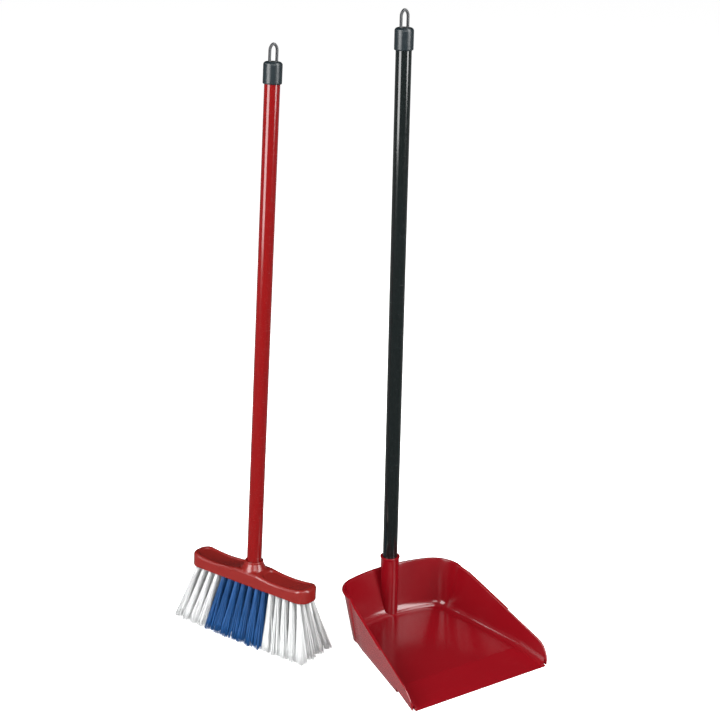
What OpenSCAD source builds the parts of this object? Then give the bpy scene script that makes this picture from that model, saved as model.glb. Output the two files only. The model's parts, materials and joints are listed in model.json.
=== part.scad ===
// Long-handled dustpan and broom set: a moulded tray on an upright tube, and a
// small hand broom on a tube of the same size that leans a little.
// Both stand on the floor at z = 0. The tray opens towards -Y.

/* [Tube handles] */
// Outer diameter of both tube handles
tube_d = 18; // [15:0.5:24]
// Wall of both tubes
tube_wall = 0.9; // [0.6:0.1:1.6]
// Length of the dustpan's tube
pan_tube_len = 714.5; // [450:0.5:900]
// Length of the broom's tube
broom_tube_len = 606; // [400:0.5:800]
// Radial clearance of a tube in its socket or cap
tube_fit = 0.08; // [0.05:0.01:0.1]

/* [Dustpan tray] */
// Width of the front lip
lip_w = 187; // [140:0.5:260]
// Depth of the tray on the floor, from back wall to lip
tray_len = 188.5; // [150:0.5:240]
// Height of the rim at the back
rim_h = 66; // [55:0.5:80]
// Slope of the side walls' edge
rim_slope = 16.5; // [14:0.1:22]
// Radius of the side walls' front ends
nose_r = 27; // [18:0.5:32]
// Angle by which each side wall opens towards the front
taper = 9.6; // [6:0.1:14]
// Outward lean of the side walls
side_lean = 10.5; // [6:0.5:16]
// Backward lean of the back wall
back_lean = 15; // [10:0.5:18]
// Radius of the rear corners on the floor
corner_r = 17; // [14:0.5:24]
// Radius of the rear corners at the rim
rim_corner_r = 36; // [28:0.5:40]
// Radius of the slight bow of the back wall
back_bow_r = 195; // [160:1:300]
// Wall of the tray
tray_wall = 1.8; // [1.4:0.1:2.6]
// Height of the floor inside the tray
floor_z = 7; // [5:0.5:10]
// Radius between the floor and the walls
floor_r = 11; // [7:0.5:14]
// Length of the ramp that falls to the lip
ramp_len = 44; // [34:0.5:56]
// Thickness of the lip's front edge
lip_t = 1; // [0.8:0.1:1.6]
// How far the lip stands out past the side walls
lip_reach = 2.5; // [2:0.5:6]
// Overhang of the rim's flange
flange_w = 1.8; // [1.4:0.1:3]
// Thickness of the rim's flange
flange_t = 1.7; // [1.2:0.1:2.4]
// Length of the flange on each side wall, from the handle's axis
flange_len = 120; // [90:1:135]

/* [Dustpan socket] */
// Height of the socket's mouth above the floor
socket_h = 85; // [75:0.5:100]
// Wall of the socket
socket_wall = 2.2; // [1.8:0.1:3]
// Height of the tube's seat above the floor
socket_seat = 8; // [6:0.5:14]
// Height of the collar at the mouth
collar_h = 3; // [2:0.5:5]
// Overhang of the collar
collar_w = 0.9; // [0.5:0.1:1.5]
// Distance from the handle's axis forwards to the back wall on the floor
axis_back = 7; // [5:0.5:9]

/* [Broom head] */
// Length of the head
head_len = 179; // [160:1:230]
// Width of the head
head_w = 33.5; // [32:0.5:44]
// Height of the head's side faces
head_t = 17.5; // [15:0.5:22]
// Corner radius of the head
head_r = 14; // [10:0.5:15]
// Depth of the scoop in each half of the head's top
scoop = 3; // [1:0.5:4]
// Height of the socket's mouth above the head's underside
mouth_h = 28; // [22:0.5:32]
// Height of the tube's seat above the head's underside
head_seat = 12; // [11:0.5:14]
// Lean of the whole broom, across its head
broom_lean = 3.64; // [0:0.01:6]

/* [Tufts] */
// Free length of the bristles
bristle_h = 67; // [50:0.5:80]
// Number of tufts in a row
row_tufts = 16; // [16:1:16]
// Spacing of the tufts in a row
tuft_pitch = 10.3; // [9.5:0.1:10.6]
// Spacing of the rows
row_pitch = 7.4; // [6.5:0.1:7.8]
// Radius of a tuft at its hole
tuft_r = 2; // [1.6:0.1:2.2]
// Radius of a tuft at its tip
tip_r = 5.8; // [3:0.1:6.5]
// Depth of the tuft holes
hole_depth = 9; // [7:0.5:9.5]
// Clearance of a tuft in its hole
hole_fit = 0.1; // [0.05:0.01:0.2]
// Outward spread of the end tufts at their tips
end_splay = 21; // [8:0.5:28]
// Outward spread of the outer rows at their tips
side_splay = 17; // [12:0.5:24]

/* [End caps and hanging loops] */
// Wall of the cap round the tube
cap_wall = 1.7; // [1.2:0.1:2.4]
// Height of the cap
cap_h = 24.5; // [22:0.5:32]
// Thickness of the cap's top
cap_top = 5.5; // [5:0.5:8]
// Width of the loop's opening
loop_gap = 6.3; // [5.5:0.1:10]
// Width of the loop's bar
bar_w = 2.8; // [1.8:0.1:3.4]
// Depth of the loop's bar
bar_d = 2.8; // [2:0.1:4]
// Height of the loop above the cap
loop_h = 21; // [18:0.5:30]
// Radius of the loop's stem
stem_r = 2.3; // [1.6:0.1:2.6]

/* [Placing of the broom] */
// Position of the broom's head from the dustpan's handle, along X
broom_x = -160.4; // [-260:0.1:-150]
// Position of the broom's head from the dustpan's handle, along Y
broom_y = 58.5; // [40:0.1:160]
// Turn of the broom's head about the vertical
broom_turn = -68.3; // [-90:0.1:-50]

/* [Hidden] */
$fn = 48;

// Thin slab used as one level of a hull
slab = 0.01;
// Margin by which a cutting shape runs past what it cuts
past = 1;
// Running clearance between a loop and its cap
swivel_fit = 0.08;
swivel_gap = 0.3;

tube_r = tube_d / 2;
tray_front = axis_back + tray_len;
wall_end = tray_front - lip_reach;
ramp_start = tray_front - ramp_len;
// The side walls' outer faces stand this far outside the lip's corners
wall_outset = 4;
front_half = lip_w / 2 + wall_outset;
socket_r = tube_r + tube_fit + socket_wall;
bore_r = tube_r + tube_fit;

// ---- Dustpan tray. Local X runs forwards, local Y to the tray's left. ----

// Half width of the tray at distance u in front of the axis and height z
function half_w(u, z, inset) =
    front_half - (tray_front - u) * tan(taper)
    + (z * tan(side_lean) - inset) / cos(taper);

// Plan of the tray at height z: a bowed back, two round corners, straight sides
function tray_plan(z, inset, front) =
    let (
        back = axis_back - z * tan(back_lean) + inset,
        bow = back_bow_r - inset,
        r = corner_r + (rim_corner_r - corner_r) * z / rim_h - inset,
        side = half_w(0, z, inset) - r / cos(taper),
        slope = tan(taper),
        a = 1 + slope * slope,
        b = 2 * slope * side - 2 * (back + bow),
        c = (back + bow) * (back + bow) + side * side - (bow - r) * (bow - r),
        corner_u = (-b - sqrt(b * b - 4 * a * c)) / (2 * a),
        corner_v = side + slope * corner_u,
        meet = atan2(corner_v, back + bow - corner_u),
        back_arc = [for (i = [-8:8]) let (w = i / 8 * meet)
            [back + bow - bow * cos(w), bow * sin(w)]],
        corner = [for (i = [1:8])
            let (turn = meet + i / 8 * (90 + taper - meet))
            [corner_u - r * cos(turn), corner_v + r * sin(turn)]],
        left = concat(corner, [[front, half_w(front, z, inset)]]),
        right = [for (i = [len(left) - 1:-1:0]) [left[i].x, -left[i].y]]
    )
    concat(right, back_arc, left);

// Level of a hull: the plan at height z, made a thin slab
module tray_level(z, inset, front) {
    translate([0, 0, z]) linear_extrude(slab) polygon(tray_plan(z, inset, front));
}

// Leaning block with the tray's plan, from the floor to above the rim
module tray_block(outset) {
    hull() {
        tray_level(0, -outset, tray_front);
        tray_level(rim_h + past, -outset, tray_front);
    }
}

// The edge runs level from the back, rounds into the slope and ends in the nose
shoulder_r = 60;
nose_u = wall_end - nose_r;
slope_u = nose_u + nose_r * sin(rim_slope);
shoulder_u = slope_u - (rim_h - nose_r * cos(rim_slope)) / tan(rim_slope)
    - shoulder_r * tan(rim_slope / 2);

// Side view of the tray's outline
module side_view() {
    shoulder = [for (i = [0:6]) let (w = i / 6 * rim_slope)
        [shoulder_u + shoulder_r * sin(w), rim_h - shoulder_r * (1 - cos(w))]];
    nose = [for (i = [0:12]) let (w = rim_slope + i / 12 * (90 - rim_slope))
        [nose_u + nose_r * sin(w), nose_r * cos(w)]];
    polygon(concat([[-rim_h, -past], [-rim_h, rim_h]], shoulder, nose, [[wall_end, -past]]));
}

module across_tray() {
    rotate([90, 0, 0]) linear_extrude(4 * front_half, center = true) children();
}

// Band under the rim's edge, which the flange fills
module flange_band() {
    across_tray() intersection() {
        difference() {
            side_view();
            translate([0, -flange_t]) side_view();
        }
        translate([-rim_h, 0]) square([rim_h + flange_len, rim_h + past]);
    }
}

// Hollow above the tray's floor, rounded where the floor meets the walls
module tray_cavity() {
    hull() {
        for (i = [0:5]) let (w = i * 18)
            tray_level(floor_z + floor_r * (1 - cos(w)),
                tray_wall + floor_r * (1 - sin(w)), ramp_start + past);
        tray_level(rim_h + 2 * past, tray_wall, tray_front + 2 * past);
    }
    hull() {
        ramp_section(ramp_start - ramp_len / 8);
        ramp_section(tray_front + past);
    }
}

// Cross section of the hollow over the ramp, with the same rounded foot
module ramp_section(u) {
    z = floor_z - (u - ramp_start) * (floor_z - lip_t) / ramp_len;
    foot = [for (i = [0:5]) let (w = i * 18)
        [half_w(u, z, tray_wall + floor_r * (1 - sin(w))), z + floor_r * (1 - cos(w))]];
    side = concat(foot, [[half_w(u, rim_h, tray_wall), rim_h + past]]);
    other = [for (i = [len(side) - 1:-1:0]) [-side[i].x, side[i].y]];
    translate([u, 0, 0]) rotate([90, 0, 90]) linear_extrude(slab)
        polygon(concat(side, other));
}

// Lip plate that reaches past the side walls, cut to the ramp by the two hollows
module lip_plate() {
    rotate([90, 0, 0]) linear_extrude(lip_w, center = true) polygon([
        [ramp_start, 0], [ramp_start, floor_z], [tray_front, 1.3 * lip_t], [tray_front, 0]
    ]);
}

// Space under the floor, open to the ground, and the rising edge under the ramp
module under_floor() {
    translate([0, 0, -past]) linear_extrude(floor_z - tray_wall + past)
        polygon(tray_plan(0, tray_wall, ramp_start - tray_wall));
    across_tray() polygon([
        [ramp_start, -past], [ramp_start, floor_z - tray_wall],
        [tray_front, 0], [tray_front, -past]
    ]);
}

// Slits between the lip's corners and the ends of the side walls
module lip_slits() {
    slit_w = wall_outset - tray_wall;
    for (side = [-1, 1])
        translate([wall_end - slit_w, side * (lip_w / 2 + slit_w / 2), 0])
            cube([lip_reach + slit_w + past, slit_w, 2 * floor_z], center = true);
}

module pan_tray() {
    color("firebrick") pan_place() difference() {
        union() {
            difference() {
                union() {
                    intersection() {
                        tray_block(0);
                        across_tray() side_view();
                    }
                    intersection() {
                        tray_block(flange_w);
                        flange_band();
                    }
                    lip_plate();
                }
                tray_cavity();
                under_floor();
                lip_slits();
            }
            cylinder(r = socket_r, h = socket_h);
            translate([0, 0, socket_h - collar_h])
                cylinder(r1 = socket_r, r2 = socket_r + collar_w, h = collar_h);
        }
        translate([0, 0, socket_seat]) cylinder(r = bore_r, h = socket_h);
    }
}

// ---- Handles, caps and loops. Local Z runs up the handle. ----

module tube(length) {
    difference() {
        cylinder(r = tube_r, h = length);
        translate([0, 0, -past]) cylinder(r = tube_r - tube_wall, h = length + 2 * past);
    }
}

cap_r = bore_r + cap_wall;
cap_inside = cap_h - cap_top;
recess = 1.5;
recess_r = loop_gap / 2 + bar_w + 1;

// Cap pushed over the tube's end, with a round recess that seats the loop
module end_cap() {
    rotate_extrude() polygon([
        [stem_r + swivel_fit, cap_inside], [bore_r, cap_inside], [bore_r, 0],
        [cap_r - 0.8, 0], [cap_r, 0.8], [cap_r, cap_h - 3], [cap_r - 0.9, cap_h - 0.9],
        [cap_r - 3, cap_h], [recess_r, cap_h], [recess_r, cap_h - recess],
        [stem_r + swivel_fit, cap_h - recess]
    ]);
}

// Pointed arch: two arcs that meet over the middle, on straight legs
module arch(half, leg, arch_r) {
    translate([-half, 0]) square([2 * half, leg]);
    translate([0, leg]) intersection() {
        translate([arch_r - half, 0]) circle(arch_r);
        translate([half - arch_r, 0]) circle(arch_r);
        translate([-half, 0]) square([2 * half, 2 * arch_r]);
    }
}

// Hanging loop that turns in the cap on a headed stem
module hang_loop() {
    foot = cap_h - recess + swivel_gap;
    rise = cap_h + loop_h - foot;
    outer = loop_gap / 2 + bar_w;
    arch_r = 1.6 * outer;
    leg = rise - sqrt(arch_r * arch_r - (arch_r - outer) * (arch_r - outer));
    disc = recess;
    translate([0, 0, foot]) difference() {
        rotate([90, 0, 0]) linear_extrude(bar_d, center = true)
            arch(outer, leg, arch_r);
        translate([0, 0, disc]) rotate([90, 0, 0]) linear_extrude(2 * bar_d, center = true)
            arch(loop_gap / 2, leg - disc, arch_r - bar_w);
    }
    translate([0, 0, foot]) cylinder(r = outer + 0.4, h = disc);
    stem_len = foot - cap_inside + swivel_gap;
    translate([0, 0, foot - stem_len]) cylinder(r = stem_r, h = stem_len + disc / 2);
    translate([0, 0, foot - stem_len - 2]) cylinder(r1 = stem_r - 0.6, r2 = stem_r + 1.2, h = 2);
}

pan_cap_z = socket_seat + pan_tube_len - cap_inside;

module pan_handle_tube() {
    color("#2e3434") pan_place() translate([0, 0, socket_seat]) tube(pan_tube_len);
}

module pan_end_cap() {
    color("#434e53") pan_place() translate([0, 0, pan_cap_z]) end_cap();
}

module pan_hang_loop() {
    color("#232527") pan_place() rotate([0, 0, 90]) translate([0, 0, pan_cap_z]) hang_loop();
}

// ---- Broom. Local X runs along the head, towards its near end, and local Z up
// the handle, from the middle of the head's underside. ----

head_z = bristle_h;
broom_cap_z = head_seat + broom_tube_len - cap_inside;

// Stands its children's origin over the floor and leans them with the broom
module lean() {
    translate([0, 0, head_z]) rotate([-broom_lean, 0, 0]) children();
}

// Plan of the head: a rectangle with round corners
module head_plan() {
    long = head_len / 2 - head_r;
    wide = head_w / 2 - head_r;
    for (x = [-long, long], y = [-wide, wide]) translate([x, y]) circle(head_r);
    square([2 * long, head_w], center = true);
    square([head_len, 2 * wide], center = true);
}

// Column numbers run from the far end to the near end, rows from front to rear
row_ends = [[0, 3], [4, 10], [11, row_tufts - 1]];
function root_x(i) = (i - (row_tufts - 1) / 2) * tuft_pitch;
function root_y(row) = (row - 1.5) * row_pitch;
// Outward spread of a tuft's tip: the ends fan out, and the corners are rounded off
corner_trim = 0.2;
function end_share(i) = root_x(i) / root_x(row_tufts - 1);
function splay(i, row) = [
    end_splay * end_share(i),
    side_splay * root_y(row) / root_y(3) * (1 - corner_trim * end_share(i) * end_share(i)),
    -bristle_h
];

// Turns local Z onto a direction that points mostly up
module along(d) {
    rotate([0, atan2(norm([d.x, d.y]), d.z), atan2(d.y, d.x)]) children();
}

module at_root(i, row) {
    translate([root_x(i), root_y(row), 0]) along(-splay(i, row)) children();
}

anchor_h = 1.8;
anchor_t = 0.5;
// Turn of each drilled hole about its own axis, so that no two line up
hole_turn = 17;

// One stretch of a row: flared tufts with their roots in the holes, level at the floor
module tufts(row, group) {
    ends = row_ends[group];
    broom_place() difference() {
        lean() for (i = [ends[0]:ends[1]]) at_root(i, row) {
            reach = norm(splay(i, row));
            length = reach + tip_r;
            flare = tuft_r + (tip_r - tuft_r) * length / reach;
            translate([0, 0, -length]) cylinder(r1 = flare, r2 = tuft_r, h = length);
            translate([0, 0, -past]) cylinder(r = tuft_r, h = hole_depth - anchor_h + past);
        }
        translate([0, 0, -tip_r]) cube([2 * head_len, 2 * head_len, 2 * tip_r], center = true);
    }
}

// Wire anchors that hold the tufts at the ends of their holes
module tuft_anchors() {
    color("silver") broom_place() lean()
        for (row = [0:3], i = [0:row_tufts - 1]) at_root(i, row)
            translate([0, 0, hole_depth - anchor_h / 2])
                cube([2 * tuft_r, anchor_t, anchor_h], center = true);
}

module broom_head() {
    hump_r = head_w / 2 - 1;
    scoop_len = head_len / 2 - head_r / 2 - hump_r;
    scoop_r = (scoop_len * scoop_len / 4 + scoop * scoop) / (2 * scoop);
    mouth_r = bore_r + socket_wall;
    // The hump starts inside the head, above the tuft holes
    hump_z = head_t - scoop - 2;
    color("#932c2a") broom_place() lean() difference() {
        union() {
            difference() {
                linear_extrude(head_t) head_plan();
                for (side = [-1, 1])
                    translate([side * (hump_r + scoop_len / 2), 0, head_t - scoop + scoop_r])
                        rotate([90, 0, 0])
                            cylinder(r = scoop_r, h = 2 * head_w, center = true, $fn = 96);
            }
            translate([0, 0, hump_z]) {
                cylinder(r = mouth_r, h = mouth_h - hump_z);
                cylinder(r1 = hump_r, r2 = mouth_r, h = mouth_h - collar_h - hump_z);
            }
        }
        translate([0, 0, head_seat]) cylinder(r = bore_r, h = mouth_h);
        for (row = [0:3], i = [0:row_tufts - 1]) at_root(i, row)
            translate([0, 0, -past]) rotate([0, 0, hole_turn])
                cylinder(r = tuft_r + hole_fit, h = hole_depth + past, $fn = 16);
    }
}

module on_broom_handle(z) {
    broom_place() lean() translate([0, 0, z]) children();
}

module broom_handle_tube() {
    color("#a82424") on_broom_handle(head_seat) tube(broom_tube_len);
}

module broom_end_cap() {
    color("#434e53") on_broom_handle(broom_cap_z) end_cap();
}

module broom_hang_loop() {
    color("#232527") on_broom_handle(broom_cap_z) rotate([0, 0, -broom_turn]) hang_loop();
}

// ---- Placing. The origin is the middle of the set's footprint. ----

// A point of the broom, from the middle of its head's underside, after the lean
function leaned(p) = [
    p.x,
    p.y * cos(broom_lean) + p.z * sin(broom_lean),
    head_z - p.y * sin(broom_lean) + p.z * cos(broom_lean)
];
// The same point after the broom's turn
function placed(p) = [
    broom_x + p.x * cos(broom_turn) - p.y * sin(broom_turn),
    broom_y + p.x * sin(broom_turn) + p.y * cos(broom_turn)
];
// Where a tuft's axis meets the floor
function tip_point(i, row) =
    let (
        root = leaned([root_x(i), root_y(row), 0]),
        tip = leaned([root_x(i), root_y(row), 0] + splay(i, row))
    )
    placed(root + (tip - root) * root.z / (root.z - tip.z));
tip_points = [for (row = [0:3], i = [0:row_tufts - 1]) tip_point(i, row)];
rim_points = [for (w = [rim_slope:2:90]) half_w(nose_u + nose_r * sin(w), nose_r * cos(w), 0)];
set_low = [
    min([for (p = tip_points) p.x]) - tip_r,
    min(-tray_front, min([for (p = tip_points) p.y]) - tip_r)
];
set_high = [max(rim_points), max([for (p = tip_points) p.y]) + tip_r];
set_shift = -(set_low + set_high) / 2;

module pan_place() {
    translate([set_shift.x, set_shift.y, 0]) rotate([0, 0, -90]) children();
}

module broom_place() {
    translate([set_shift.x + broom_x, set_shift.y + broom_y, 0])
        rotate([0, 0, broom_turn]) children();
}

pan_tray();
pan_handle_tube();
pan_end_cap();
pan_hang_loop();
broom_head();
broom_handle_tube();
broom_end_cap();
broom_hang_loop();
color("whitesmoke") tufts(0, 0);  // tufts_row1_far_white
color("#1f4f8a") tufts(0, 1);  // tufts_row1_blue
color("whitesmoke") tufts(0, 2);  // tufts_row1_near_white
color("whitesmoke") tufts(1, 0);  // tufts_row2_far_white
color("#1f4f8a") tufts(1, 1);  // tufts_row2_blue
color("whitesmoke") tufts(1, 2);  // tufts_row2_near_white
color("whitesmoke") tufts(2, 0);  // tufts_row3_far_white
color("#1f4f8a") tufts(2, 1);  // tufts_row3_blue
color("whitesmoke") tufts(2, 2);  // tufts_row3_near_white
color("whitesmoke") tufts(3, 0);  // tufts_row4_far_white
color("#1f4f8a") tufts(3, 1);  // tufts_row4_blue
color("whitesmoke") tufts(3, 2);  // tufts_row4_near_white
tuft_anchors();
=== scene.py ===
"""Looks of a long-handled dustpan and broom set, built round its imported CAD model."""

import json

import bmesh
import bpy
import numpy as np
from mathutils import Matrix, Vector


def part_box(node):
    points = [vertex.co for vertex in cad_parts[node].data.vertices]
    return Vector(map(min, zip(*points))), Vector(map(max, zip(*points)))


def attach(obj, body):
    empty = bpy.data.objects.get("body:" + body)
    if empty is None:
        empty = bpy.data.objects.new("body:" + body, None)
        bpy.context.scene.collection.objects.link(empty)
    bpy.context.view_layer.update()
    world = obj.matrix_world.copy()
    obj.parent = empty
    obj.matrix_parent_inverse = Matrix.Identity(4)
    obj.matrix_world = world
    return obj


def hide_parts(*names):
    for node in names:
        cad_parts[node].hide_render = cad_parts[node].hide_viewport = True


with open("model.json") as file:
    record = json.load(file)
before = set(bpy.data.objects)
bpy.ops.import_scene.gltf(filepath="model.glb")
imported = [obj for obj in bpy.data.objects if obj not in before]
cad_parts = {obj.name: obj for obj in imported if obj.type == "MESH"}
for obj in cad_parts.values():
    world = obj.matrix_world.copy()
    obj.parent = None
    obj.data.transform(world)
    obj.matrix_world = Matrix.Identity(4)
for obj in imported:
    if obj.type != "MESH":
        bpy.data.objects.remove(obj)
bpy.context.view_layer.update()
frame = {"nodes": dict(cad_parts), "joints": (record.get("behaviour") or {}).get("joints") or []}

# ---- Camera -----------------------------------------------------------------
# A long lens a little above the handles looks down on the set from in front, to
# the side of the tray's mouth. It is placed from the foot of the dustpan's tube.

tube_low, tube_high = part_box("pan_handle_tube")
pan_foot = np.array([(tube_low.x + tube_high.x) / 2, (tube_low.y + tube_high.y) / 2, 0.0])


def camera_axes(heading, pitch, roll):
    """Right, up and back axes of a camera that looks along a compass heading, clockwise
    from +Y, and down by pitch; roll turns the picture about the line of sight."""
    heading, pitch, roll = np.radians([heading, pitch, roll])
    ahead = np.array([np.sin(heading) * np.cos(pitch), np.cos(heading) * np.cos(pitch),
                      -np.sin(pitch)])
    right = np.array([np.cos(heading), -np.sin(heading), 0.0])
    up = np.cross(right, ahead)
    return (np.cos(roll) * right + np.sin(roll) * up,
            -np.sin(roll) * right + np.cos(roll) * up, -ahead)


camera = bpy.data.objects.new("camera", bpy.data.cameras.new("camera"))
bpy.context.scene.collection.objects.link(camera)
camera.data.lens = 75
camera.data.sensor_width = 36
camera_place = np.eye(4)
camera_place[:3, :3] = np.column_stack(camera_axes(heading=33.098, pitch=19.39, roll=1.08))
camera_place[:3, 3] = pan_foot + [-0.9475, -1.3772, 0.9290]
camera.matrix_world = Matrix(camera_place.tolist())
bpy.context.scene.camera = camera

# ---- Dustpan tray -----------------------------------------------------------
# One injection moulding in glossy polypropylene. The walls lean outwards, a thin
# flange stiffens the rim, and the floor falls to a lip that reaches past the walls.
# The handle's socket is moulded onto the back wall.

# Sizes are in millimetres, and places are on the tray's own axes: u forwards from the
# handle, v to the tray's left and z up
MM = 0.001
tray_wall = 1.8
rim_height = 66.0
floor_height = 7.0
floor_radius = 8.5
tray_front = 195.5
wall_front = 193.0
front_half = 97.5
side_taper = np.radians(9.6)
side_lean = np.radians(10.5)
back_place = 7.0
back_lean = np.radians(15.0)
back_bow = 195.0
corner_radius, corner_growth = 17.0, 19.0
ramp_start = 151.5
lip_half = 93.5
lip_thickness = 1.0


def half_width(u, z, inset):
    """Half width at u and height z: it falls with the taper towards the back, grows with
    the side walls' lean, and shrinks by the inset."""
    return (front_half - (tray_front - u) * np.tan(side_taper)
            + (z * np.tan(side_lean) - inset) / np.cos(side_taper))


def wall_point(kind, share, z, inset):
    """Point of the wall at height z, inset from its outer face. kind 0 is the bowed back
    wall, 1 the rear corner and 2 the side; share is the part of the arc, or u itself.
    The back is an arc about a far centre, the corner an arc tangent to it and the side."""
    back = back_place - z * np.tan(back_lean) + inset
    bow = back_bow - inset
    radius = corner_radius + corner_growth * z / rim_height - inset
    slope = np.tan(side_taper)
    side = half_width(0.0, z, inset) - radius / np.cos(side_taper)
    a = 1 + slope ** 2
    b = 2 * slope * side - 2 * (back + bow)
    c = (back + bow) ** 2 + side ** 2 - (bow - radius) ** 2
    centre_u = (-b - np.sqrt(b * b - 4 * a * c)) / (2 * a)
    centre_v = side + slope * centre_u
    meet = np.arctan2(centre_v, back + bow - centre_u)
    turn = meet + share * (np.pi / 2 + side_taper - meet)
    u = np.select([kind == 0, kind == 1],
                  [back + bow - bow * np.cos(share * meet), centre_u - radius * np.cos(turn)],
                  share)
    v = np.select([kind == 0, kind == 1],
                  [bow * np.sin(share * meet), centre_v + radius * np.sin(turn)],
                  half_width(share, z, inset))
    return u, v


rim_slope = np.radians(16.5)
nose_radius = 27.0
nose_turn = np.radians(86.3)
nose_u = wall_front - nose_radius
slope_end = nose_u + nose_radius * np.sin(rim_slope)
slope_foot = nose_radius * np.cos(rim_slope)
shoulder_radius = 60.0
shoulder = (slope_end - (rim_height - slope_foot) / np.tan(rim_slope)
            - shoulder_radius * np.tan(rim_slope / 2))


def edge_height(u):
    """Height of the walls' edge at u: level, then an arc into a straight slope, then a
    quarter arc down the nose."""
    arc = np.sqrt(shoulder_radius ** 2 - np.clip(u - shoulder, 0, shoulder_radius / 2) ** 2)
    slope = slope_foot + (slope_end - u) * np.tan(rim_slope)
    nose = np.sqrt(np.clip(nose_radius ** 2 - np.clip(u - nose_u, 0, None) ** 2, 0, None))
    return np.select([u < shoulder + shoulder_radius * np.sin(rim_slope), u < slope_end],
                     [rim_height - shoulder_radius + arc, slope], nose)


side_start = 52.0
flange_width, flange_end = 1.8, 120.0
foot_round = 0.35
back_stations, corner_stations = 22, 30


def fillet_inset(z, floor):
    """How far the fillet between wall and floor stands in at height z: a quarter circle
    that touches both."""
    fall = 1 - np.clip((z - floor) / floor_radius, 0, 1)
    return floor_radius * (1 - np.sqrt(np.clip(1 - fall ** 2, 0, 1)))


def tray_surface():
    """Grid of the tray's left half: each station's section runs from the middle of the
    underside, round the skirt, up the outer wall, over the flange, down the inner wall
    and its fillet, and across the floor to the middle."""
    # Stations: along the bowed back, round the rear corner, then forwards by u
    nose = nose_u + nose_radius * np.sin(np.linspace(rim_slope, nose_turn, 26))
    side_u = np.concatenate([
        np.linspace(side_start, flange_end - 2, 9), [flange_end - 0.4, flange_end + 0.4],
        np.linspace(126, 144, 4), ramp_start - tray_wall + np.array([-0.1, 0.1]),
        [ramp_start - 0.1, ramp_start + 0.1], np.linspace(156, slope_end - 2, 4), nose,
        [wall_front + 0.02], np.linspace(wall_front + 0.1, tray_front - 0.15, 3), [tray_front]])
    kind = np.repeat([0.0, 1.0, 2.0], [back_stations, corner_stations, len(side_u)])[:, None]
    share = np.concatenate([np.linspace(0, 1, back_stations, endpoint=False),
                            np.linspace(0, 1, corner_stations), side_u])[:, None]
    u_here = np.where(kind == 2, share, 0.0)

    # Levels: the leaning wall moves u with its own height, so the edge is settled in steps.
    # room is the part of the rim's rounding that fits where the wall runs out at the lip
    edge = np.full(kind.shape, rim_height)
    for step in range(12):
        edge = edge_height(wall_point(kind, share, edge, 0.0)[0])
    ramp = np.clip((u_here - ramp_start) / (tray_front - ramp_start), 0, 1)
    floor = floor_height - ramp * (floor_height - lip_thickness)
    skirt = (floor_height - tray_wall) * np.where(u_here > ramp_start, 1 - ramp, 0)
    under = np.where(u_here > ramp_start, skirt,
                     np.where(u_here > ramp_start - tray_wall, 0.0, floor_height - tray_wall))
    lip = u_here > wall_front + 0.01
    edge = np.where(lip, floor, edge)
    room = np.clip((edge - floor) / 3, 0.04, 1)
    flange = np.where(u_here < flange_end, flange_width, 0.0)

    # Rim, outside: depth below the edge, share of the flange's width, and inward rounding
    rim_down = np.array([3.0, 2.3, 2.0, 1.7, 1.45, 1.1, 0.7, 0.4, 0.16, 0.03, 0.0])
    rim_out = np.array([0, 0.04, 0.35, 0.8, 0.97, 1, 1, 1, 1, 1, 1])
    rim_in = np.array([0, 0, 0, 0, 0, 0, 0, 0.06, 0.24, 0.55, 0.9])
    rim_z = edge - rim_down * room
    flange_inset = rim_in * room - flange * rim_out

    # Rim, inside: rounded down to the start of the inner wall, which ends in the fillet
    round_down = np.array([0.0, 0.04, 0.18, 0.45, 0.8])
    round_in = np.array([-0.6, -0.42, -0.2, -0.04, 0.0])
    inner_top = np.maximum(edge - round_down[-1] * room, floor + 0.02)
    inner_z = floor + (inner_top - floor) * np.linspace(1, 0, 26)[1:] ** 2
    inner_inset = tray_wall + fillet_inset(inner_z, floor)
    round_inset = tray_wall + round_in * room + fillet_inset(inner_top, floor)
    across = np.array([0.25, 0.75])
    top_span = flange_inset[:, -1:] * (1 - across) + round_inset[:, :1] * across
    wall_z = skirt + foot_round + (rim_z[:, :1] - skirt - foot_round) * np.linspace(0, 1, 8)

    z = np.concatenate([wall_z, rim_z[:, 1:], np.repeat(edge, 2, 1), edge - round_down * room,
                        inner_z], 1)
    inset = np.concatenate([np.zeros_like(wall_z), flange_inset[:, 1:], top_span, round_inset,
                            inner_inset], 1)
    u, v = wall_point(kind, share, z, inset)

    # Foot of the skirt, underside and floor
    foot_z = np.concatenate([under, skirt, skirt, skirt + 0.1], 1)
    foot_inset = np.array([tray_wall, tray_wall - 0.1, foot_round, 0.1]) + 0 * skirt
    foot_u, foot_v = wall_point(kind, share, 0 * foot_z, foot_inset)
    spine_u = np.where(kind == 2, share, side_start)
    inward = np.linspace(0, 1, 8)[1:]
    floor_u = u[:, -1:] * (1 - inward) + spine_u * inward
    floor_v = v[:, -1:] * (1 - inward)
    floor_z = floor + 0 * inward
    under_u = spine_u * inward[::-1] + foot_u[:, :1] * (1 - inward[::-1])
    under_v = foot_v[:, :1] * (1 - inward[::-1])
    under_z = under + 0 * inward
    grid = np.stack([np.concatenate([under_u, foot_u, u, floor_u], 1),
                     np.concatenate([under_v, foot_v, v, floor_v], 1),
                     np.concatenate([under_z, foot_z, z, floor_z], 1)], -1)

    # Past the walls only the lip plate is left, as wide as the lip
    plate = np.broadcast_to(lip, grid.shape[:2])
    grid[..., 1] = np.where(plate, np.minimum(grid[..., 1], lip_half), grid[..., 1])
    return grid


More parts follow.
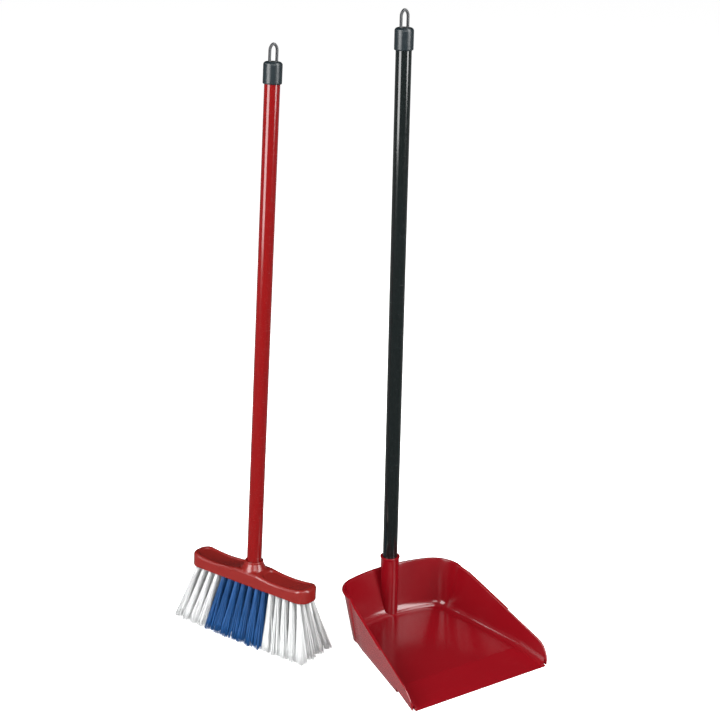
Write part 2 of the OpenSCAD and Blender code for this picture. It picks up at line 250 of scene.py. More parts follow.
def piece_from_grid(name, grid, origin, axes, loop=False, crease=35):
    """Mesh from a grid of points in millimetres on the piece's own axes: quads between
    neighbours, closed round the second parameter if loop, with seams and poles merged
    and the faces turned outwards."""
    rows, columns = grid.shape[:2]
    points = np.asarray(origin) + MM * grid.reshape(-1, 3) @ np.asarray(axes)
    number = np.arange(rows * columns).reshape(rows, columns)
    if loop:
        number = np.concatenate([number, number[:, :1]], 1)
    quads = np.stack([number[:-1, :-1], number[:-1, 1:], number[1:, 1:], number[1:, :-1]], -1)
    return piece_from_faces(name, points, quads.reshape(-1, 4), crease)


def piece_from_faces(name, points, faces, crease=35):
    """Object with that mesh, its equal points merged and its faces turned outwards,
    smooth but for the edges that turn by more than the crease angle."""
    mesh = bpy.data.meshes.new(name)
    mesh.from_pydata(points.tolist(), [], faces.tolist())
    piece = bpy.data.objects.new(name, mesh)
    bpy.context.scene.collection.objects.link(piece)
    finish_mesh(piece, crease)
    return piece


def finish_mesh(piece, crease):
    """Merges doubles, drops faces without area, closes open ends (a lone sheet stays
    open), turns normals outwards and shades smooth."""
    work = bmesh.new()
    work.from_mesh(piece.data)
    bmesh.ops.remove_doubles(work, verts=work.verts, dist=2e-6)
    bmesh.ops.dissolve_degenerate(work, edges=work.edges, dist=1e-6)
    if len(work.faces) > 1:
        bmesh.ops.holes_fill(work, edges=work.edges, sides=0)
    bmesh.ops.recalc_face_normals(work, faces=work.faces)
    work.to_mesh(piece.data)
    work.free()
    piece.data.polygons.foreach_set("use_smooth", np.ones(len(piece.data.polygons), bool))
    piece.data.set_sharp_from_angle(angle=np.radians(crease))


def turned(profile, sides=72):
    """Grid of a shape turned about its own z axis, from a profile of (radius, z)."""
    angle = np.linspace(0, 2 * np.pi, sides, endpoint=False)
    profile = np.asarray(profile, float)
    return np.stack([profile[:, :1] * np.cos(angle), profile[:, :1] * np.sin(angle),
                     profile[:, 1:] + 0 * angle], -1)


def cut_with(piece, tool, operation):
    """Applies a boolean of the tool to the piece and removes the tool."""
    step = piece.modifiers.new("cut", "BOOLEAN")
    step.operation = operation
    step.solver = "EXACT"
    step.object = tool
    shaped = piece.evaluated_get(bpy.context.evaluated_depsgraph_get())
    mesh = bpy.data.meshes.new_from_object(shaped)
    piece.modifiers.clear()
    piece.data = mesh
    bpy.data.objects.remove(tool)


# The tray's axes in the shared frame: u runs along -Y and v along +X
pan_axes = [[0, -1, 0], [1, 0, 0], [0, 0, 1]]
left_half = tray_surface()
right_half = left_half[::-1] * [1, -1, 1]
tray = piece_from_grid("tray", np.concatenate([right_half, left_half[1:]]), pan_foot, pan_axes)

# The socket is a solid post with a collar, which the tube's bore is cut into
bore_radius = 9.08
socket_radius = 11.28
pan_seat = 8.0
post_profile = [(0, 0), (11.0, 0), (socket_radius, 0.3), (socket_radius, 30), (socket_radius, 60),
                (socket_radius, 81.4), (11.45, 82.1), (11.98, 83.6), (12.15, 84.3), (12.1, 84.8),
                (11.8, 85), (0, 85)]
bore_profile = [(0, pan_seat), (bore_radius, pan_seat), (bore_radius, 45), (bore_radius, 84.4),
                (9.2, 84.8), (9.6, 85.1), (9.6, 86), (0, 86)]
post = piece_from_grid("post", turned(post_profile), pan_foot, pan_axes, loop=True)
cut_with(tray, post, "UNION")
bore = piece_from_grid("bore", turned(bore_profile), pan_foot, pan_axes, loop=True)
cut_with(tray, bore, "DIFFERENCE")

# The lip is parted from the ends of the side walls by two short slits
slit_u, slit_v, slit_z = (190.8, 198.0), (-0.13, 2.27), (-1.0, 7.3)
slit_faces = np.array([[0, 1, 3, 2], [4, 6, 7, 5], [0, 4, 5, 1], [2, 3, 7, 6], [0, 2, 6, 4],
                       [1, 5, 7, 3]])
for side in (-1, 1):
    corners = np.array([[u, side * (lip_half + v), z]
                        for u in slit_u for v in slit_v for z in slit_z])
    slit = piece_from_faces("slit", pan_foot + MM * corners @ np.array(pan_axes), slit_faces)
    cut_with(tray, slit, "DIFFERENCE")
finish_mesh(tray, crease=32)


def new_group(name, inputs, outputs):
    """Shader node group with those sockets, given as (name, kind, default) and (name, kind).
    Returns the group and its input and output nodes."""
    group = bpy.data.node_groups.new(name, "ShaderNodeTree")
    for label, kind, default in inputs:
        socket = group.interface.new_socket(label, in_out="INPUT", socket_type="NodeSocket" + kind)
        socket.default_value = default
    for label, kind in outputs:
        group.interface.new_socket(label, in_out="OUTPUT", socket_type="NodeSocket" + kind)
    return group, group.nodes.new("NodeGroupInput"), group.nodes.new("NodeGroupOutput")


def add_node(tree, kind, sockets=(), **settings):
    """Shader node with those settings. Each socket takes a plain value or another node's
    output; sockets is a list of (name or number, value)."""
    made = tree.nodes.new("ShaderNode" + kind)
    for key, value in settings.items():
        setattr(made, key, value)
    for key, value in sockets:
        if isinstance(value, bpy.types.NodeSocket):
            tree.links.new(value, made.inputs[key])
        else:
            made.inputs[key].default_value = value
    return made


def add_maths(tree, operation, a, b, c=0.0):
    """Result of one maths node."""
    return add_node(tree, "Math", [(0, a), (1, b), (2, c)], operation=operation).outputs[0]


def moulded_skin():
    """Group for the skin of a plastic moulding: slow flow marks in the colour, haze and
    fine scuffs in the roughness, and shallow sink ripples in the height."""
    group, given, result = new_group("moulded_skin", [
        ("Colour", "Color", (0.5, 0.5, 0.5, 1)), ("Mottle", "Float", 0.1),
        ("Roughness", "Float", 0.3), ("Haze", "Float", 0.05), ("Grain", "Float", 900.0),
        ("Scuff", "Float", 0.3)],
        [("Colour", "Color"), ("Roughness", "Float"), ("Height", "Float")])
    place = add_node(group, "TexCoord").outputs["Object"]

    # Colour and roughness: slow flow marks, haze, and scuffs that run one way
    flow = add_node(group, "TexNoise", [("Vector", place), ("Scale", 16.0), ("Detail", 3.0),
                                        ("Distortion", 0.6)]).outputs["Fac"]
    shade = add_maths(group, "MULTIPLY", flow, given.outputs["Mottle"])
    darker = add_node(group, "HueSaturation", [
        ("Color", given.outputs["Colour"]), ("Value", 0.62), ("Saturation", 1.05)]).outputs[0]
    tint = add_node(group, "Mix", [("Factor", shade), (6, given.outputs["Colour"]), (7, darker)],
                    data_type="RGBA")
    haze = add_node(group, "TexNoise", [("Vector", place), ("Scale", 140.0),
                                        ("Detail", 4.0)]).outputs["Fac"]
    turned_place = add_node(group, "Mapping", [
        ("Vector", place), ("Rotation", (0.3, 0.2, 0.7)), ("Scale", (1.0, 22.0, 22.0))]).outputs[0]
    scratch = add_node(group, "TexNoise", [("Vector", turned_place), ("Scale", 60.0),
                                           ("Detail", 2.0)]).outputs["Fac"]
    scuff = add_node(group, "MapRange", [("Value", scratch), ("From Min", 0.63),
                                         ("From Max", 0.72)]).outputs[0]
    worn = add_maths(group, "MULTIPLY", scuff, given.outputs["Scuff"])
    rough = add_maths(group, "MULTIPLY_ADD", haze, given.outputs["Haze"],
                      given.outputs["Roughness"])
    rough = add_maths(group, "MULTIPLY_ADD", worn, 0.16, rough)
    pale = add_node(group, "Mix", [("Factor", add_maths(group, "MULTIPLY", worn, 0.07)),
                                   (6, tint.outputs[2]), (7, (0.8, 0.74, 0.72, 1))],
                    data_type="RGBA")

    # Height: fine grain over slow sink ripples
    grain = add_node(group, "TexNoise", [("Vector", place), ("Scale", given.outputs["Grain"]),
                                         ("Detail", 2.0)]).outputs["Fac"]
    ripple = add_node(group, "TexNoise", [("Vector", place), ("Scale", 42.0),
                                          ("Detail", 1.0)]).outputs["Fac"]
    height = add_maths(group, "MULTIPLY_ADD", ripple, 1.6, grain)
    group.links.new(pale.outputs[2], result.inputs["Colour"])
    group.links.new(rough, result.inputs["Roughness"])
    group.links.new(height, result.inputs["Height"])
    return group


skin = moulded_skin()


def plastic(name, colour, roughness, bump, ior=1.5, **values):
    """Material of a moulded or coated piece: the skin group feeds the Principled shader's
    colour, roughness and bump. bump is the relief's depth in metres, and values are the
    group's own sockets."""
    made = bpy.data.materials.new(name)
    made.use_nodes = True
    tree = made.node_tree
    shader = tree.nodes["Principled BSDF"]
    layer = add_node(tree, "Group", node_tree=skin)
    layer.inputs["Colour"].default_value = (*colour, 1)
    layer.inputs["Roughness"].default_value = roughness
    for label, value in values.items():
        layer.inputs[label].default_value = value
    relief = add_node(tree, "Bump", [("Height", layer.outputs["Height"]), ("Strength", 0.5),
                                     ("Distance", bump)]).outputs[0]
    tree.links.new(layer.outputs["Colour"], shader.inputs["Base Color"])
    tree.links.new(layer.outputs["Roughness"], shader.inputs["Roughness"])
    tree.links.new(relief, shader.inputs["Normal"])
    shader.inputs["IOR"].default_value = ior
    return made


def coat_all(piece, material):
    """Gives every face of a piece that was joined from several the one material."""
    piece.data.materials.clear()
    piece.data.materials.append(material)
    piece.data.polygons.foreach_set("material_index", np.zeros(len(piece.data.polygons), np.int32))


coat_all(tray, plastic("glossy_tray_red", (0.163, 0.0024, 0.0055), 0.15, 0.00001,
                       Mottle=0.3, Haze=0.06, Grain=700.0, Scuff=0.06))
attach(tray, "dustpan")
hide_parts("pan_tray")

# ---- Tube handles -----------------------------------------------------------
# Two thin steel tubes of one size, rolled, seam welded and powder coated, one in
# near-black and one in red. Each is pushed into its socket and capped.

tube_radius = 9.0
tube_wall = 0.9
pan_tube_top = pan_seat + 714.5
broom_seat = 12.0
broom_tube_top = broom_seat + 606.0


def tube_profile(bottom, top):
    """Closed section of the tube's wall as (radius, z), its cut edges slightly broken."""
    inner, edge = tube_radius - tube_wall, 0.25
    heights = np.linspace(bottom + 2, top - 2, 24)
    outside = [(tube_radius - edge, bottom), (tube_radius, bottom + edge)]
    outside += [(tube_radius, z) for z in heights] + [(tube_radius, top - edge)]
    inside = [(tube_radius - edge, top), (inner + edge, top), (inner, top - edge)]
    inside += [(inner, bottom + edge), (inner + edge, bottom), (tube_radius - edge, bottom)]
    return outside + inside


pan_tube = piece_from_grid("dustpan_tube", turned(tube_profile(pan_seat, pan_tube_top), 96),
                           pan_foot, pan_axes, loop=True)
pan_tube.data.materials.append(plastic("dark_tube_coat", (0.0035, 0.0055, 0.0055), 0.09, 0.00001,
                                       ior=1.55, Mottle=0.2, Haze=0.06, Grain=1400.0, Scuff=0.35))
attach(pan_tube, "dustpan_handle")
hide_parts("pan_handle_tube")

# The broom leans: its axes follow the line that its loop turns about, and its origin
# is in the plane of the head's underside
swivel = next(j for j in frame["joints"] if j["name"] == "broom_loop_swivel")
bristle_height = 67.0
broom_up = np.array(swivel["axis"]) / np.linalg.norm(swivel["axis"])
along_head = np.array([broom_up[1], -broom_up[0], 0]) / np.hypot(*broom_up[:2])
broom_axes = [along_head, np.cross(broom_up, along_head), broom_up]
rise = (swivel["pos_m"][2] - MM * bristle_height) / broom_up[2]
broom_origin = np.array(swivel["pos_m"]) - rise * broom_up

broom_tube = piece_from_grid("broom_tube", turned(tube_profile(broom_seat, broom_tube_top), 96),
                             broom_origin, broom_axes, loop=True)
broom_tube.data.materials.append(plastic("red_tube_coat", (0.134, 0.002, 0.0022), 0.1, 0.00001,
                                         Mottle=0.2, Haze=0.06, Grain=1400.0, Scuff=0.35))
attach(broom_tube, "broom_handle")
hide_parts("broom_handle_tube")

# ---- End caps ---------------------------------------------------------------
# Slate-grey polypropylene caps pushed over the tubes' ends. Each has a chamfered
# top with a round recess, in which the hanging loop turns.

cap_height = 24.5
cap_inside = 19.0
cap_radius = 10.78
recess_radius, recess_depth = 6.95, 1.5
stem_hole = 2.38


def cap_profile(z):
    """Closed section of the cap as (radius, height), standing at height z: up the bore
    and out over the skirt, the chamfered top, the recess and the stem's hole."""
    recess_z = cap_height - recess_depth
    return np.array([
        (stem_hole, cap_inside), (bore_radius, cap_inside), (bore_radius, 0.3), (9.3, 0), (9.9, 0),
        (10.2, 0.12), (10.6, 0.5), (10.76, 0.95), (cap_radius, 1.6), (cap_radius, 6),
        (cap_radius, 14), (cap_radius, 20.4), (10.76, 21.3), (10.62, 22.1), (10.2, 22.9),
        (9.3, 23.8), (8.6, 24.25), (7.9, 24.47), (7.6, cap_height), (7.25, cap_height),
        (7.02, 24.4), (recess_radius, 24.1), (recess_radius, 23.2), (6.85, recess_z),
        (stem_hole, recess_z), (stem_hole, cap_inside)]) + [0, z]


pan_cap_z = pan_tube_top - cap_inside
broom_cap_z = broom_tube_top - cap_inside
cap_grey = plastic("slate_cap_plastic", (0.0045, 0.0095, 0.0125), 0.28, 0.00005,
                   Mottle=0.4, Haze=0.12, Grain=1100.0, Scuff=0.6)
for name, body, node, origin, axes, z in (
        ("dustpan_cap", "dustpan_handle", "pan_end_cap", pan_foot, pan_axes, pan_cap_z),
        ("broom_cap", "broom_handle", "broom_end_cap", broom_origin, broom_axes, broom_cap_z)):
    cap = piece_from_grid(name, turned(cap_profile(z), 96), origin, axes, loop=True)
    cap.data.materials.append(cap_grey)
    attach(cap, body)
    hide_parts(node)

# ---- Hanging loops ----------------------------------------------------------
# Black plastic eyes on a disc with a headed stem, which snaps through the cap and
# lets the eye turn. The bar bends over in a pointed arch, softened at the crown.

loop_black = plastic("black_loop_plastic", (0.016, 0.018, 0.02), 0.36, 0.00004,
                     Mottle=0.3, Haze=0.1, Grain=1100.0, Scuff=0.5)
bar_width, bar_depth = 2.8, 2.8
half_span = 4.55
arch_radius = 8.12
arch_centre = arch_radius - half_span
disc_gap = 0.3
loop_foot = cap_height - recess_depth + disc_gap
loop_top = cap_height + 21
arch_foot = loop_top - np.sqrt((arch_radius + bar_width / 2) ** 2 - arch_centre ** 2)


def loop_bar():
    """Grid of the bar: a rounded rectangle carried up one leg, round two arcs that meet
    over the middle with a softened crown, and down the other leg."""
    crown = np.pi / 2 - np.arcsin(arch_centre / arch_radius)
    bend = np.linspace(0, crown, 15)
    leg = np.linspace(loop_foot + 0.8, arch_foot, 8)[:-1]
    x = np.concatenate([np.full(len(leg), -half_span), arch_centre - arch_radius * np.cos(bend)])
    z = np.concatenate([leg, arch_foot + arch_radius * np.sin(bend)])
    x = np.concatenate([x, -x[-2::-1]])
    z = np.concatenate([z, z[-2::-1]])
    for soften in range(3):  # each pass averages a point with its neighbours
        x[1:-1] = 0.25 * x[:-2] + 0.5 * x[1:-1] + 0.25 * x[2:]
        z[1:-1] = 0.25 * z[:-2] + 0.5 * z[1:-1] + 0.25 * z[2:]
    z = np.minimum(z, loop_top - bar_width / 2)
    along = np.stack([np.gradient(x), np.gradient(z)], -1)
    along /= np.linalg.norm(along, axis=1)[:, None]
    angle = np.linspace(0, 2 * np.pi, 24, endpoint=False)
    wave = np.stack([np.cos(angle), np.sin(angle)])
    section = np.sign(wave) * np.abs(wave) ** 0.5
    wide, deep = bar_width / 2 * section[0], bar_depth / 2 * section[1]
    grid = np.stack([x[:, None] - along[:, 1:] * wide, deep + 0 * x[:, None],
                     z[:, None] + along[:, :1] * wide], -1)
    first, last = (end.mean(1, keepdims=True) + 0 * end for end in (grid[:1], grid[-1:]))
    return np.concatenate([first, grid, last])


def stem_profile(z):
    """Section of the disc that lies at height z and of the stem and head below it, as
    (radius, z)."""
    return np.array([
        (0, 1.5), (5.9, 1.5), (6.25, 1.35), (6.35, 1.1), (6.35, 0.25), (6.2, 0), (2.3, 0),
        (2.3, -4.6), (3.5, -4.6), (3.5, -4.7), (1.7, -6.6), (0, -6.6)]) + [0, z]


for name, body, node, origin, axes, z in (
        ("dustpan_loop", "dustpan_loop", "pan_hang_loop", pan_foot, pan_axes, pan_cap_z),
        ("broom_loop", "broom_loop", "broom_hang_loop", broom_origin, broom_axes, broom_cap_z)):
    # Both eyes face the room's -Y side at rest
    side = np.array([1.0, 0, 0]) - axes[2][0] * np.array(axes[2])
    side /= np.linalg.norm(side)
    turned_axes = [side, np.cross(axes[2], side), axes[2]]
    eye = piece_from_grid(name, loop_bar() + [0, 0, z], origin, turned_axes, loop=True, crease=50)
    stem = piece_from_grid("stem", turned(stem_profile(loop_foot + z), 48), origin, turned_axes,
                           loop=True)
    cut_with(eye, stem, "UNION")
    finish_mesh(eye, crease=40)
    coat_all(eye, loop_black)
    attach(eye, body)
    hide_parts(node)

# ---- Broom head -------------------------------------------------------------
# A satin polypropylene moulding. Each half of its top is dished inside a raised
# border, and the front flows up into the bell of the tube's socket.

head_length, head_width, head_height = 179.0, 33.5, 17.5
head_corner = 14.0
head_border = 3.6
head_sag = 3.0
mouth_height = 28.0
dish_depth, dish_corner, dish_slope = 1.5, 11.0, 2.6
dish_far, dish_near = head_length / 2 - 5.5, 17.5
bell_rise, bell_blend = 2.1, 3.6


def head_outline(inset, count=288):
    """Points round the head's plan, a rectangle with round corners shrunk by the inset,
    starting on +x, evenly spaced by length."""
    radius = head_corner - inset
    long, wide = head_length / 2 - head_corner, head_width / 2 - head_corner
    turn = np.linspace(0, np.pi / 2, 40)
    centre = np.array([[long, wide], [-long, wide], [-long, -wide], [long, -wide]])
    arcs = [centre[q] + radius * np.stack([np.cos(turn + q * np.pi / 2),
                                           np.sin(turn + q * np.pi / 2)], -1) for q in range(4)]
    start = [[head_length / 2 - inset, 0.0]]
    line = np.concatenate([start, *arcs, start])
    reach = np.concatenate([[0], np.cumsum(np.linalg.norm(np.diff(line, axis=0), axis=1))])
    even = np.linspace(0, reach[-1], count, endpoint=False)
    return np.stack([np.interp(even, reach, line[:, 0]), np.interp(even, reach, line[:, 1])], -1)


def ease(value):
    """Smooth step from 0 to 1 of values clipped to that range."""
    value = np.clip(value, 0, 1)
    return value * value * (3 - 2 * value)


def border_height(x):
    """Height of the head's border at x: each half sags in a shallow arc."""
    reach = (head_length - head_corner) / 2 - (head_width / 2 - 1)
    middle = head_width / 2 - 1 + reach / 2
    away = np.clip(np.abs(np.abs(x) - middle) / (reach / 2), 0, 1)
    return head_height - head_sag * (1 - away ** 2)


def head_top(x, y):
    """Height of the head's top: the border, less a dish in each half whose depth grows
    inwards from a rounded rectangle, joined to the bell's cone by a soft maximum."""
    middle, half = (dish_far + dish_near) / 2, (dish_far - dish_near) / 2
    out_x = np.abs(np.abs(x) - middle) - (half - dish_corner)
    out_y = np.abs(y) - (head_width / 2 - head_border - dish_corner)
    outside = (np.hypot(np.clip(out_x, 0, None), np.clip(out_y, 0, None))
               + np.minimum(np.maximum(out_x, out_y), 0) - dish_corner)
    plate = border_height(x) - dish_depth * ease(-outside / dish_slope)
    cone = mouth_height - 2.7 - (np.hypot(x, y) - socket_radius) * bell_rise
    mix = np.clip(0.5 + (cone - plate) / (2 * bell_blend), 0, 1)
    return plate + (cone - plate) * mix + bell_blend * mix * (1 - mix)


def head_surface():
    """Grid of rings: up the bore, over the socket's mouth, out across the top, over the
    edge, down the side and back across the underside."""
    around = head_outline(0)
    angle = 2 * np.pi * np.arange(len(around)) / len(around)
    circle = np.stack([np.cos(angle), np.sin(angle)], -1)
    seat, mouth = broom_seat, mouth_height
    rings = [np.column_stack([radius * circle, np.full(len(circle), z)]) for radius, z in (
        (0, seat), (bore_radius, seat), (bore_radius, mouth - 0.5), (9.2, mouth - 0.15),
        (9.5, mouth), (10.9, mouth), (11.15, mouth - 0.1), (socket_radius, mouth - 0.4),
        (socket_radius, mouth - 1.6))]
    inner, outer = socket_radius * circle, head_outline(head_border)
    for share in np.linspace(0, 1, 90) ** 1.35:
        flat = inner * (1 - share) + outer * share
        rings.append(np.column_stack([flat, head_top(flat[:, 0], flat[:, 1])]))
    for bend in np.linspace(0, np.pi / 2, 10)[1:]:
        flat = head_outline(head_border * (1 - np.sin(bend)))
        rings.append(np.column_stack([flat, head_top(flat[:, 0], flat[:, 1])
                                      - head_border * (1 - np.cos(bend))]))
    low = rings[-1][:, 2]
    for share in np.linspace(0, 1, 8)[1:]:
        rings.append(np.column_stack([around, low * (1 - share) + 0.9 * share]))
    rings.append(np.column_stack([head_outline(0.25), np.full(len(around), 0.3)]))
    rings.append(np.column_stack([head_outline(0.9), np.zeros(len(around))]))
    rings.append(np.column_stack([head_outline(8) * 0.5, np.zeros(len(around))]))
    rings.append(np.zeros((len(around), 3)))
    return np.stack(rings)


head = piece_from_grid("broom_head_moulding", head_surface(), broom_origin, broom_axes,
                       loop=True, crease=50)
head.data.materials.append(plastic("satin_head_red", (0.154, 0.0095, 0.0078), 0.2, 0.00002,
                                   Mottle=0.35, Haze=0.08, Grain=800.0, Scuff=0.08))
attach(head, "broom")
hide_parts("broom_head")

# ---- Bristle tufts ----------------------------------------------------------
# Sixty-four tufts of extruded polypropylene monofilament, folded over wire anchors
# in drilled holes. They fan out towards the tips, which are trimmed level and ragged.

columns, tuft_pitch, row_pitch = 16, 10.3, 7.4
root_height = 5.0
root_radius, tip_radius = 1.75, 7.2
end_splay, row_splay = 19.4, 15.6
fan_power = 1.15
wave_size, stray_size = 0.14, 0.3
strands = 120
strand_radius = 0.24
strand_taper = np.array([0.95, 1, 1.1, 1.25, 1.4, 1.4, 1.05])
stretches = (("far_white", 0, 4), ("blue", 4, 11), ("near_white", 11, 16))


def tuft_strands(column, row, seed):
    """Centre lines of one tuft's filaments, as points (strand, ring, xyz), and each
    strand's random number. A strand starts in a disc in the hole and drifts outwards
    with a power of its length, with a slight wave, to its place in the wider tip, where
    some strands stray."""
    chance = np.random.default_rng(seed)
    root_x = (column - (columns - 1) / 2) * tuft_pitch
    root_y = (row - 1.5) * row_pitch
    end = root_x / ((columns - 1) / 2 * tuft_pitch)
    splay = np.array([end_splay * end, row_splay * (row - 1.5) / 1.5 * (1 - 0.2 * end * end)])
    around = chance.uniform(0, 2 * np.pi, strands)
    spread = np.sqrt(chance.uniform(0, 1, strands))
    disc = np.stack([np.cos(around), np.sin(around)], -1) * spread[:, None]
    trim = chance.uniform(0.0, 1.6, strands) ** 2 * 0.5 + 0.1
    along = np.linspace(0, 1, len(strand_taper))
    fan = along ** fan_power
    flat = (np.array([root_x, root_y]) + splay * along[:, None]
            + disc[:, None] * (root_radius + (tip_radius - root_radius) * fan[:, None]))
    wave = chance.normal(0, wave_size, (strands, 2))[:, None] * np.sin(
        np.pi * along * chance.uniform(1, 2.4, (strands, 1)))[..., None]
    stray = chance.normal(0, stray_size, (strands, 2))[:, None] * (along ** 3)[:, None]
    flat = flat + wave + stray
    # The tips end level with the floor, though the whole head leans
    slant = (flat[:, -1] * np.array([0, broom_axes[1][2]])).sum(1) / broom_up[2]
    depth = -(bristle_height / broom_up[2] + slant - trim)
    z = root_height + (depth[:, None] - root_height) * along
    return np.concatenate([flat, z[..., None]], -1), chance.uniform(0, 1, strands)


def strand_mesh(name, lines, tones):
    """Mesh of three-sided filaments round those centre lines, as thick as the taper says
    and closed at both ends, with each strand's tone and share of length on its points."""
    count, rings = lines.shape[:2]
    angle = np.arange(3) * 2 * np.pi / 3 + tones[:, None, None] * 6
    radius = strand_radius * strand_taper[:, None]
    points = lines[:, :, None] + np.stack([radius * np.cos(angle), radius * np.sin(angle),
                                           0 * radius * angle], -1)
    number = np.arange(count * rings * 3).reshape(count, rings, 3)
    after = np.roll(number, -1, 2)
    quads = np.stack([number[:, 1:], after[:, 1:], after[:, :-1], number[:, :-1]], -1)
    ends = np.concatenate([number[:, 0], number[:, -1, ::-1]])
    place = broom_origin + MM * points.reshape(-1, 3) @ np.array(broom_axes)
    mesh = bpy.data.meshes.new(name)
    mesh.from_pydata(place.tolist(), [], quads.reshape(-1, 4).tolist() + ends.tolist())
    mesh.polygons.foreach_set("use_smooth", np.ones(len(mesh.polygons), bool))
    for label, values in (("tone", np.repeat(tones, rings * 3)),
                          ("along", np.tile(np.repeat(np.linspace(0, 1, rings), 3), count))):
        layer = mesh.attributes.new(label, "FLOAT", "POINT")
        layer.data.foreach_set("value", values.astype(np.float32))
    return mesh


def fibre(name, deep, pale, roughness):
    """Material of bristles: each strand has its own tone between two colours, with fine
    lengthwise streaks and a painted shade that darkens it towards the root in the hole and pales
    it towards the tip."""
    made = bpy.data.materials.new(name)
    made.use_nodes = True
    tree = made.node_tree
    shader = tree.nodes["Principled BSDF"]
    tone = add_node(tree, "Attribute", attribute_name="tone").outputs["Fac"]
    painted_shade_along = add_node(tree, "Attribute", attribute_name="along").outputs["Fac"]
    place = add_node(tree, "TexCoord").outputs["Object"]
    stretched = add_node(tree, "Mapping", [("Vector", place), ("Scale", (1, 1, 0.06))]).outputs[0]
    streak = add_node(tree, "TexNoise", [("Vector", stretched), ("Scale", 1500.0),
                                         ("Detail", 2.0)]).outputs["Fac"]
    mixed = add_maths(tree, "MULTIPLY_ADD", streak, 0.35, add_maths(tree, "MULTIPLY", tone, 0.6))
    # Painted shade: the share of length darkens each strand towards its root and pales it towards
    # the tip
    mixed = add_maths(tree, "MULTIPLY_ADD", painted_shade_along, 0.12, mixed)
    colour = add_node(tree, "Mix", [("Factor", mixed), (6, (*deep, 1)), (7, (*pale, 1))],
                      data_type="RGBA").outputs[2]
    tree.links.new(colour, shader.inputs["Base Color"])
    rough = add_maths(tree, "MULTIPLY_ADD", streak, 0.2, roughness)
    tree.links.new(rough, shader.inputs["Roughness"])
    shader.inputs["IOR"].default_value = 1.49
    return made


bristle_white = fibre("white_bristle", (0.50, 0.51, 0.51), (0.74, 0.75, 0.75), 0.4)
bristle_blue = fibre("blue_bristle", (0.0015, 0.038, 0.132), (0.0045, 0.094, 0.315), 0.42)
for row in range(4):
    for label, first, last in stretches:
        tufts = [tuft_strands(column, row, 100 * row + column) for column in range(first, last)]
        lines, tones = (np.concatenate(part) for part in zip(*tufts))
        mesh = strand_mesh(f"bristles_row{row + 1}_{label}", lines, tones)
        bristles = bpy.data.objects.new(mesh.name, mesh)
        bpy.context.scene.collection.objects.link(bristles)
        mesh.materials.append(bristle_blue if label == "blue" else bristle_white)
        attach(bristles, "broom")
        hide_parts(f"tufts_row{row + 1}_{label}")

# ---- Tuft anchors -----------------------------------------------------------
# Flat clips cut from galvanised steel wire, driven in with each tuft. The CAD's own
# pieces stay and get their metal.

steel = bpy.data.materials.new("galvanised_anchor")
steel.use_nodes = True
steel_tree = steel.node_tree
steel_shader = steel_tree.nodes["Principled BSDF"]
steel_place = add_node(steel_tree, "TexCoord").outputs["Object"]
spangle = add_node(steel_tree, "TexNoise", [("Vector", steel_place), ("Scale", 1800.0),
                                            ("Detail", 3.0)]).outputs["Fac"]
steel_tree.links.new(add_node(steel_tree, "Mix", [
    ("Factor", spangle), (6, (0.34, 0.35, 0.36, 1)), (7, (0.62, 0.63, 0.65, 1))],
    data_type="RGBA").outputs[2], steel_shader.inputs["Base Color"])
steel_tree.links.new(add_maths(steel_tree, "MULTIPLY_ADD", spangle, 0.25, 0.25),
                     steel_shader.inputs["Roughness"])
steel_shader.inputs["Metallic"].default_value = 1.0
anchors = frame["nodes"]["tuft_anchors"]
anchors.data.materials.clear()
anchors.data.materials.append(steel)

# ---- Lights and floor -------------------------------------------------------
# A plain white floor in a room that looks white to the camera. For everything else the
# room is dim, with a pale patch low behind the set, and five soft boxes stand round it.

scene = bpy.context.scene
scene.view_settings.view_transform = "Standard"
world = bpy.data.worlds.new("studio")
world.use_nodes = True
sky = world.node_tree
background = sky.nodes["Background"]
direction = add_node(sky, "TexCoord").outputs["Generated"]
ahead = add_node(sky, "VectorMath", [(0, direction), (1, (0.546, 0.838, 0.0))],
                 operation="DOT_PRODUCT").outputs["Value"]
height = add_node(sky, "SeparateXYZ", [(0, direction)]).outputs["Z"]
sweep = add_node(sky, "MapRange", [("Value", ahead), ("From Min", -0.1),
                                   ("From Max", 0.6)]).outputs[0]
below = add_node(sky, "MapRange", [("Value", height), ("From Min", 0.05),
                                   ("From Max", -0.25)]).outputs[0]
glow = add_maths(sky, "MULTIPLY_ADD", sweep, -0.09, 0.13)
glow = add_maths(sky, "MULTIPLY_ADD", add_maths(sky, "MULTIPLY", sweep, below), 0.34, glow)
seen_directly = add_node(sky, "LightPath").outputs["Is Camera Ray"]
strength = add_maths(sky, "MAXIMUM", seen_directly, glow)
background.inputs["Color"].default_value = (1, 1, 1, 1)
sky.links.new(strength, background.inputs["Strength"])
scene.world = world

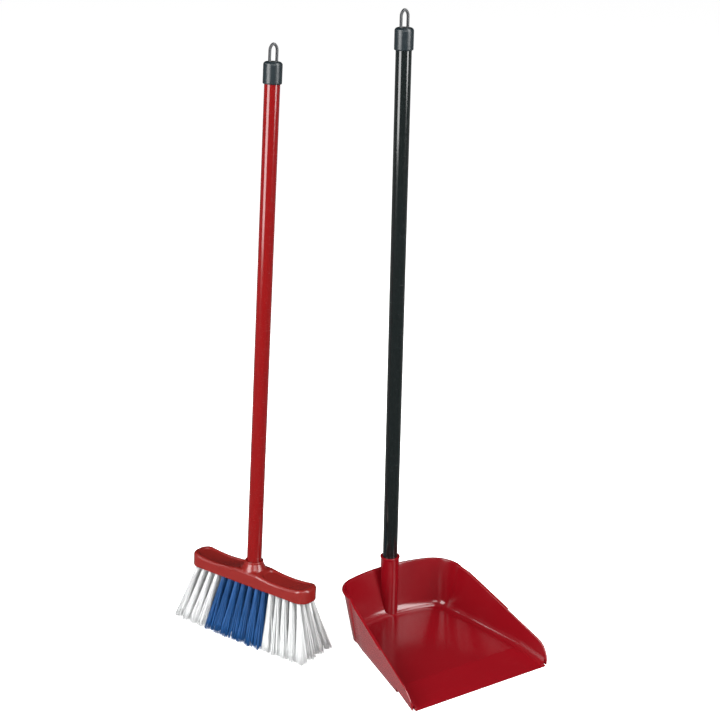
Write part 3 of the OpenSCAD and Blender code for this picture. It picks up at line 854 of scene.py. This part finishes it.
floor_reach, floor_drop = 14.0, 0.0004
floor = piece_from_faces("floor", np.array([[-1, -1, 0], [1, -1, 0], [1, 1, 0], [-1, 1, 0]])
                         * floor_reach - [0, 0, floor_drop], np.array([[0, 1, 2, 3]]))
paper = bpy.data.materials.new("white_paper")
paper.use_nodes = True
paper_shader = paper.node_tree.nodes["Principled BSDF"]
paper_shader.inputs["Base Color"].default_value = (0.8, 0.8, 0.8, 1)
paper_shader.inputs["Roughness"].default_value = 0.9
paper_shader.inputs["Emission Color"].default_value = (1, 1, 1, 1)
paper_seen = add_node(paper.node_tree, "LightPath").outputs["Is Camera Ray"]
paper.node_tree.links.new(add_maths(paper.node_tree, "MULTIPLY_ADD", paper_seen, 0.6, 0.3),
                          paper_shader.inputs["Emission Strength"])
floor.data.materials.append(paper)
floor.visible_glossy = False
floor.visible_shadow = False

set_middle = np.array([0.0, 0.0, 0.35])


def soft_box(name, bearing, distance, height, size, power):
    """Area light at a bearing in degrees, clockwise from -Y seen from above, that faces
    the middle of the set; height is that of its own middle."""
    lamp = bpy.data.lights.new(name, "AREA")
    lamp.shape = "RECTANGLE"
    lamp.size, lamp.size_y = size
    lamp.energy = power
    holder = bpy.data.objects.new(name, lamp)
    bpy.context.scene.collection.objects.link(holder)
    bearing = np.radians(bearing)
    place = set_middle * [1, 1, 0] + distance * np.array([-np.sin(bearing), -np.cos(bearing), 0])
    place[2] = height
    back = place - set_middle
    back /= np.linalg.norm(back)
    across = np.cross([0, 0, 1.0], back)
    across /= np.linalg.norm(across)
    matrix = np.eye(4)
    matrix[:3, :3] = np.column_stack([across, np.cross(back, across), back])
    matrix[:3, 3] = place
    holder.matrix_world = Matrix(matrix.tolist())


soft_box("left_box", bearing=84, distance=1.7, height=1.05, size=(1.15, 1.9), power=72)
soft_box("right_box", bearing=-32, distance=1.9, height=1.24, size=(0.85, 2.1), power=66)
soft_box("top_box", bearing=-64, distance=0.8, height=1.9, size=(0.8, 0.45), power=9)
soft_box("corner_box", bearing=134, distance=1.6, height=1.55, size=(0.3, 0.25), power=2.5)
soft_box("front_box", bearing=18, distance=2.3, height=1.75, size=(1.5, 1.0), power=32)
